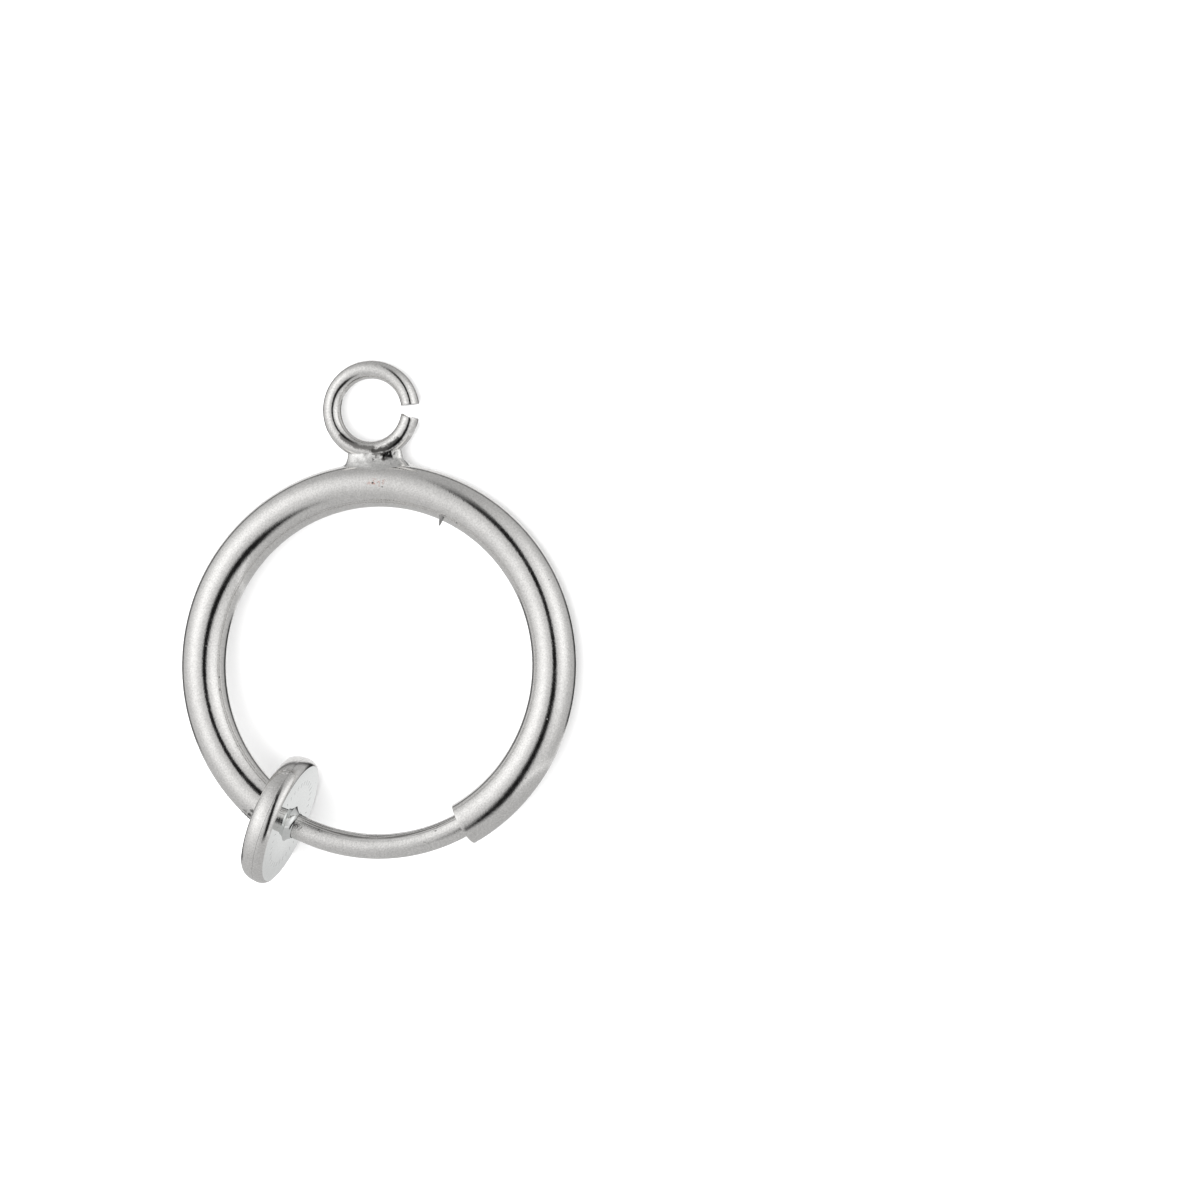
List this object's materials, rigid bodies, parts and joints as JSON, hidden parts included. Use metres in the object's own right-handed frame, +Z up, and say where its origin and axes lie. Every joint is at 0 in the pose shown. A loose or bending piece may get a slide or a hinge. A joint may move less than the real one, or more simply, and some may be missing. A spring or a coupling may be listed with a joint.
{
  "type": "spring-loaded clip-on hoop earring with a charm loop",
  "caption": "Silver-coloured hoop ear clip: a rolled tube with a spring-loaded sliding rod, two round pads that grip the lobe, and an open wire loop for a charm.",
  "frame": {"origin": "middle of the clip's box on the surface that it rests on, lying on its back", "axes": "+Z up; +Y from the pads' end to the charm loop; +X to the side where the rod enters the tube. The hoop's own axis leans 7.1 degrees from +Z, because the pads' rims are wider than the tube"},
  "size_m": [0.013, 0.0167, 0.0043],
  "materials": {
    "plated_tube": "satin bright silver-coloured plating with fine grain and small pits",
    "plated_pad": "bright silver-coloured plating, rougher at the neck",
    "plated_rod": "satin silver-coloured plating, rubbed along its length",
    "polished_pad": "mirror-like flat face with faint stamped ticks, bright rim"
  },
  "bodies": {
    "hoop": {"hoop_tube": "plated_tube", "tube_pad": "plated_pad"},
    "slider": {"slide_rod": "plated_rod", "rod_pad": "polished_pad"}
  },
  "joints": [
    {"name": "rod_slide", "type": "hinge", "parent": "hoop", "child": "slider", "pos_m": [0, -0.0014, 0.00142], "axis": [0.0668, 0.1037, 0.9924], "range_deg": [0, 48], "stiffness_Nm_per_rad": 0.0018, "springref_deg": -22.92}
  ]
}
